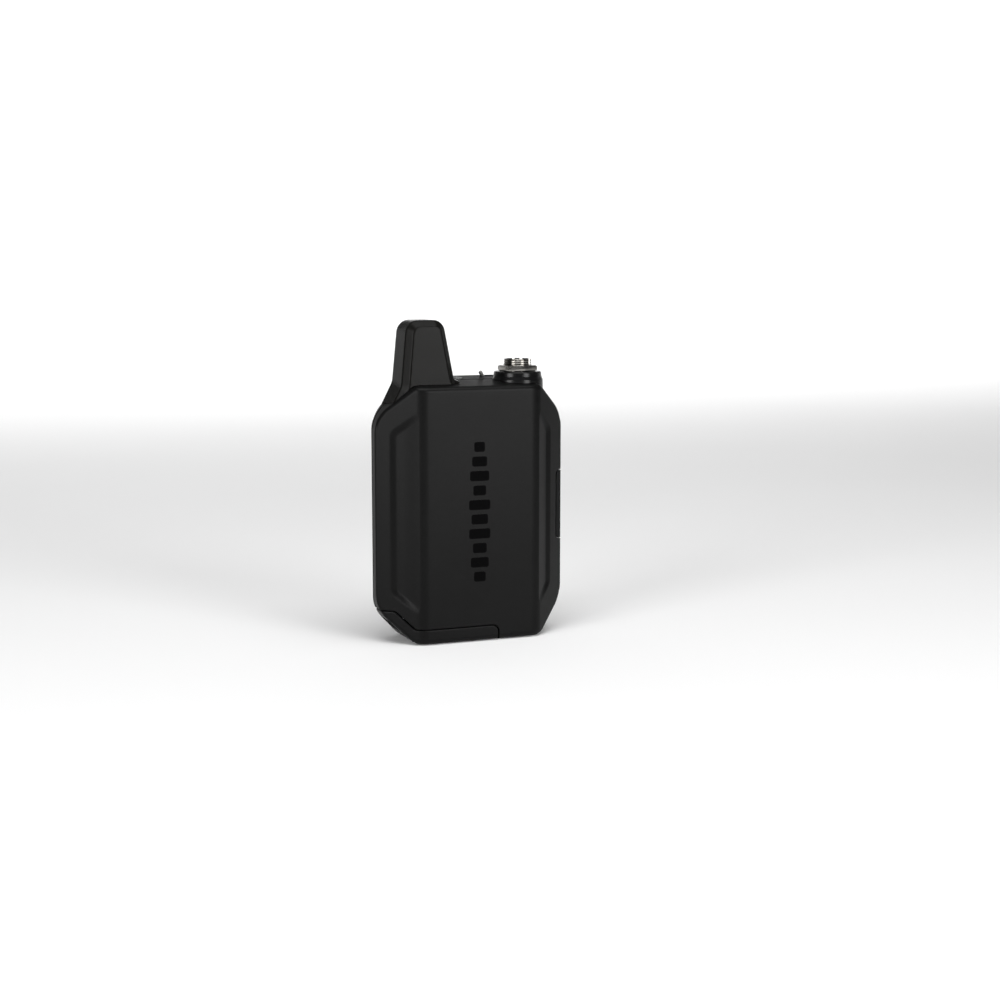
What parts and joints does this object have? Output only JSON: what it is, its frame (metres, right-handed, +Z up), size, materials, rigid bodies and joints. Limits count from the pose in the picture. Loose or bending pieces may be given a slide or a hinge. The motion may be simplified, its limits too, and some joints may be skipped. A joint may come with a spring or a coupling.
{
  "type": "wireless guitar transmitter",
  "caption": "Bodypack transmitter for an electric guitar: chamfered cast case, antenna stub, threaded input connector, power toggle, hinged battery door and wire belt clip.",
  "frame": {"origin": "centre of the case's flat underside, on which it stands", "axes": "+Z up towards the antenna, +X to the viewer's right with the connector on that side, +Y from the front face towards the belt clip"},
  "size_m": [0.067, 0.0298, 0.107],
  "materials": {
    "coat": "satin",
    "antenna_plastic": "satin",
    "panel_plastic": "matte",
    "gloss_black": "gloss",
    "nickel": "satin",
    "screw_steel": "satin",
    "clip_steel": "satin",
    "contact_gold": "polished",
    "circuit_board": "satin",
    "chip_black": "matte",
    "shield_tin": "satin",
    "battery_case": "matte",
    "lever_grey": "satin",
    "light_pipe": "gloss",
    "led_body": "gloss",
    "button_rubber": "matte"
  },
  "bodies": {
    "case": {"front_shell": "coat", "rear_shell": "coat", "case_screw_1": "screw_steel", "case_screw_2": "screw_steel", "case_screw_3": "screw_steel", "antenna_cover": "antenna_plastic", "antenna_strip": "circuit_board", "antenna_contact": "contact_gold", "connector_collar": "gloss_black", "connector_nut": "nickel", "connector_barrel": "nickel", "connector_insert": "gloss_black", "connector_pin_1": "contact_gold", "connector_pin_2": "contact_gold", "connector_pin_3": "contact_gold", "connector_pin_4": "contact_gold", "connector_board": "circuit_board", "power_switch_body": "chip_black", "status_light_pipe": "light_pipe", "status_led": "led_body", "side_panel": "panel_plastic", "usb_shell": "nickel", "usb_tongue": "chip_black", "link_switch": "chip_black", "main_board": "circuit_board", "board_screw_1": "screw_steel", "board_screw_2": "screw_steel", "radio_shield": "shield_tin", "processor_chip": "chip_black", "audio_chip": "chip_black", "charger_chip": "chip_black", "battery_holder": "panel_plastic", "battery_pack": "battery_case", "battery_contact_1": "contact_gold", "battery_contact_2": "contact_gold", "battery_contact_3": "contact_gold", "door_hinge_pin": "screw_steel"},
    "power_toggle": {"power_switch_lever": "lever_grey"},
    "link_key": {"link_button": "button_rubber"},
    "door": {"battery_door": "coat"},
    "lock": {"door_lock": "panel_plastic"},
    "clip": {"belt_clip": "clip_steel"}
  },
  "joints": [
    {"name": "power_toggle_turn", "type": "hinge", "parent": "case", "child": "power_toggle", "pos_m": [0.0095, 0.0079, 0.0852], "axis": [0, 1, 0], "range_deg": [0, 60]},
    {"name": "link_button_press", "type": "slide", "parent": "case", "child": "link_key", "axis": [-1, 0, 0], "range_m": [0, 0.0004], "stiffness_N_per_m": 2500, "springref_m": -0.0002},
    {"name": "battery_door_hinge", "type": "hinge", "parent": "case", "child": "door", "pos_m": [0.00515, 0, 0.00115], "axis": [0, -1, 0], "range_deg": [0, 95]},
    {"name": "door_lock_slide", "type": "slide", "parent": "door", "child": "lock", "axis": [0, 1, 0], "range_m": [0, 0.0025]},
    {"name": "belt_clip_hinge", "type": "hinge", "parent": "case", "child": "clip", "pos_m": [0, 0.0156, 0.072], "axis": [1, 0, 0], "range_deg": [0, 12], "stiffness_Nm_per_rad": 0.6, "springref_deg": -5.73}
  ]
}
